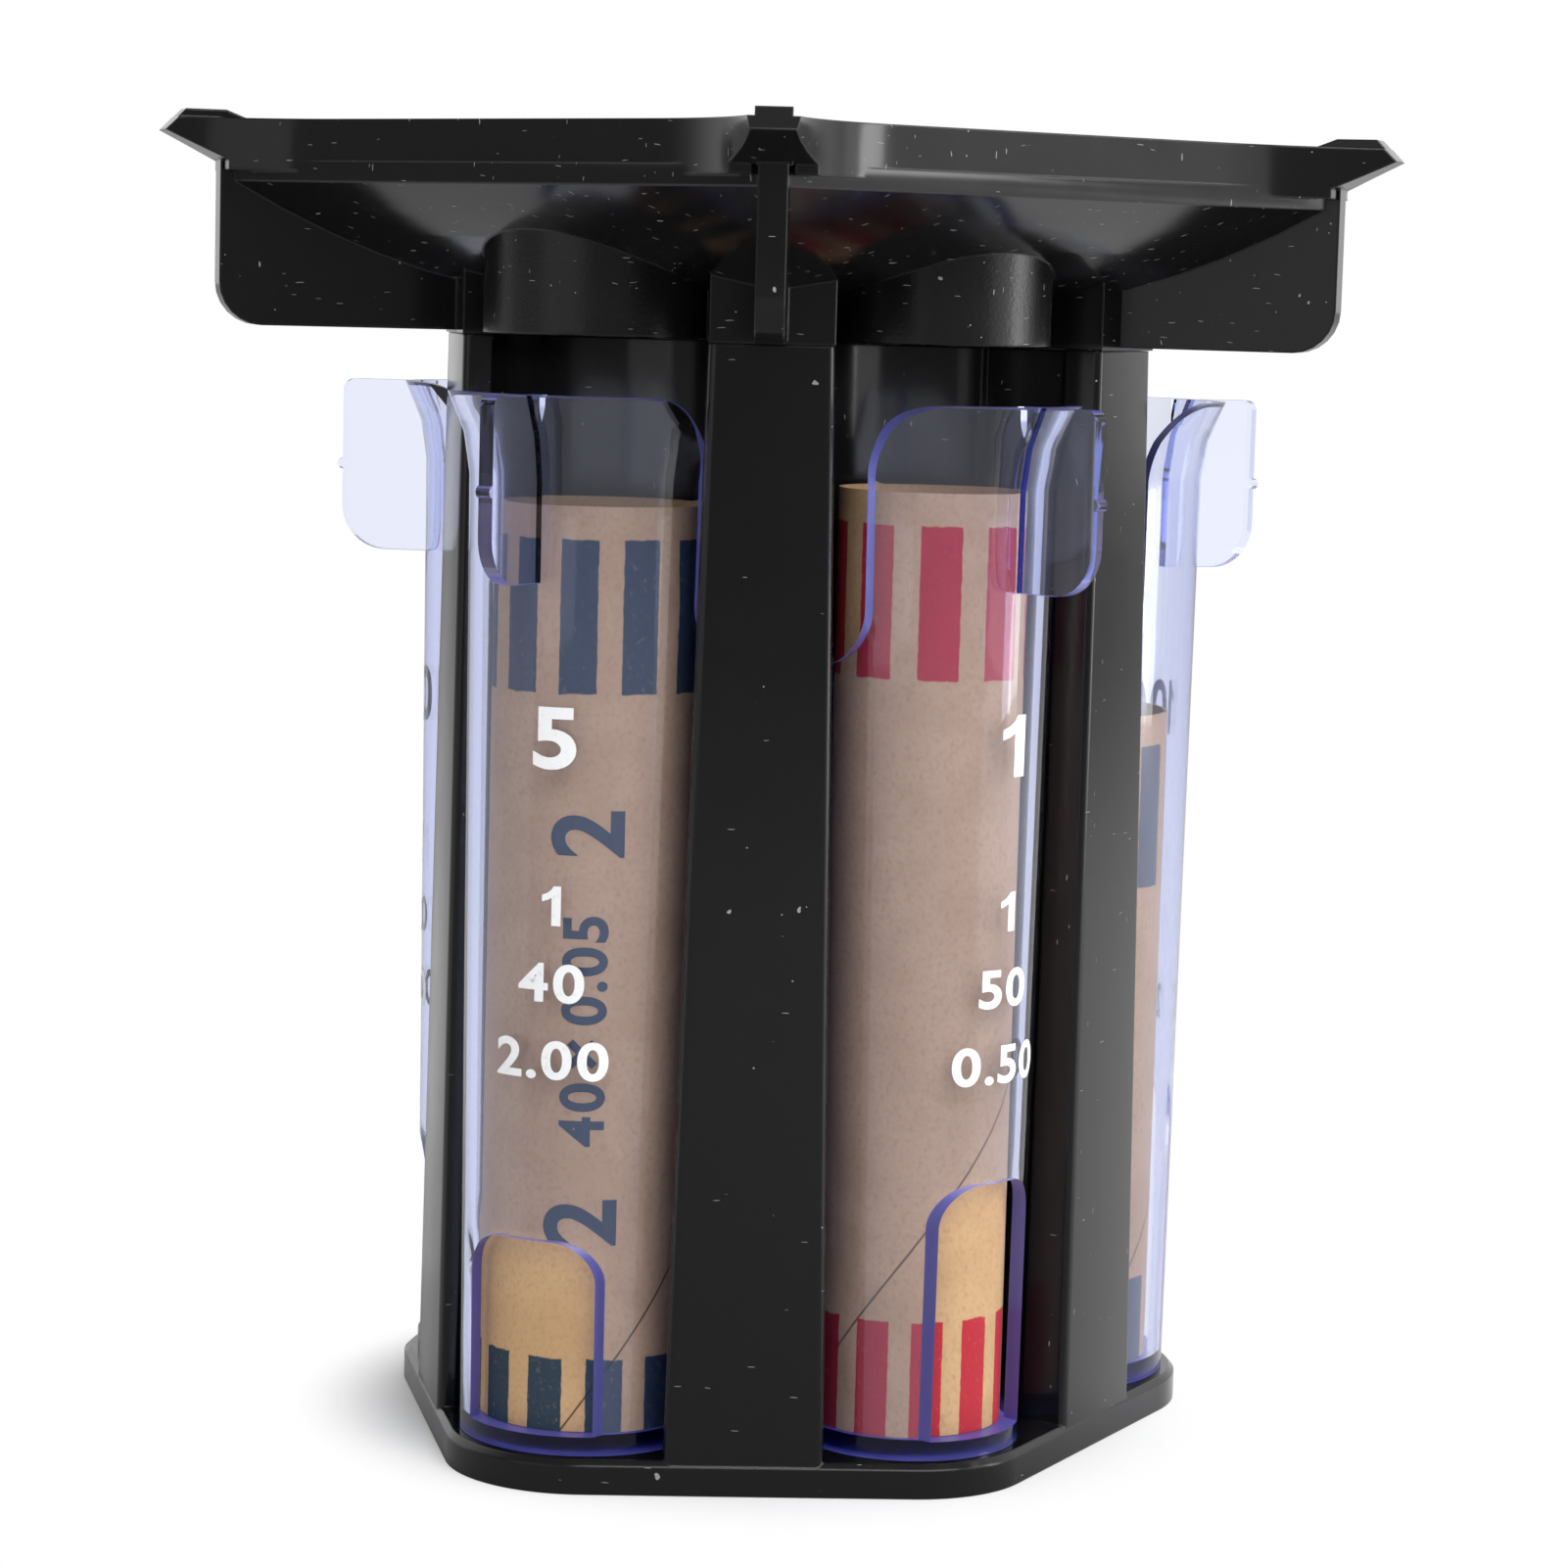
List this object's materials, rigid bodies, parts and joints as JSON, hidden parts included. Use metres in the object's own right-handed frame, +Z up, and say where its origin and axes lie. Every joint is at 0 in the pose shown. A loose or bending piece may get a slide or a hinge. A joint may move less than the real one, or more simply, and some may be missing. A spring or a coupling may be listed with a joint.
{
  "type": "coin sorting tube unit",
  "caption": "Free-standing coin sorter: clear pull-out coin tubes with paper wrappers stand round a black moulded post tower, under a five-sided funnel tray that plugs on top.",
  "frame": {"origin": "on the stand's axis at the base plate's underside", "axes": "+Z up, -Y towards the front post between the five cent and one cent tubes"},
  "size_m": [0.13, 0.1245, 0.1414],
  "materials": {
    "stand_black": "moulded gloss",
    "tray_black": "moulded gloss",
    "clear_plastic": "clear, pale blue tint",
    "kraft_paper": "unbleached kraft"
  },
  "bodies": {
    "stand": {"tower": "stand_black"},
    "tray": {"funnel_tray": "tray_black"},
    "penny_set": {"penny_tube": "clear_plastic", "penny_wrapper": "kraft_paper"},
    "dollar_set": {"dollar_tube": "clear_plastic", "dollar_wrapper": "kraft_paper"},
    "quarter_set": {"quarter_tube": "clear_plastic", "quarter_wrapper": "kraft_paper"},
    "dime_set": {"dime_tube": "clear_plastic", "dime_wrapper": "kraft_paper"},
    "nickel_set": {"nickel_tube": "clear_plastic", "nickel_wrapper": "kraft_paper"}
  },
  "joints": [
    {"name": "tray_lift", "type": "slide", "parent": "stand", "child": "tray", "axis": [0, 0, 1], "range_m": [0, 0.04]},
    {"name": "penny_draw", "type": "slide", "parent": "stand", "child": "penny_set", "axis": [0.5878, -0.809, 0], "range_m": [0, 0.06]},
    {"name": "dollar_draw", "type": "slide", "parent": "stand", "child": "dollar_set", "axis": [0.9511, 0.309, 0], "range_m": [0, 0.06]},
    {"name": "quarter_draw", "type": "slide", "parent": "stand", "child": "quarter_set", "axis": [0, 1, 0], "range_m": [0, 0.06]},
    {"name": "dime_draw", "type": "slide", "parent": "stand", "child": "dime_set", "axis": [-0.9511, 0.309, 0], "range_m": [0, 0.06]},
    {"name": "nickel_draw", "type": "slide", "parent": "stand", "child": "nickel_set", "axis": [-0.5878, -0.809, 0], "range_m": [0, 0.06]}
  ]
}
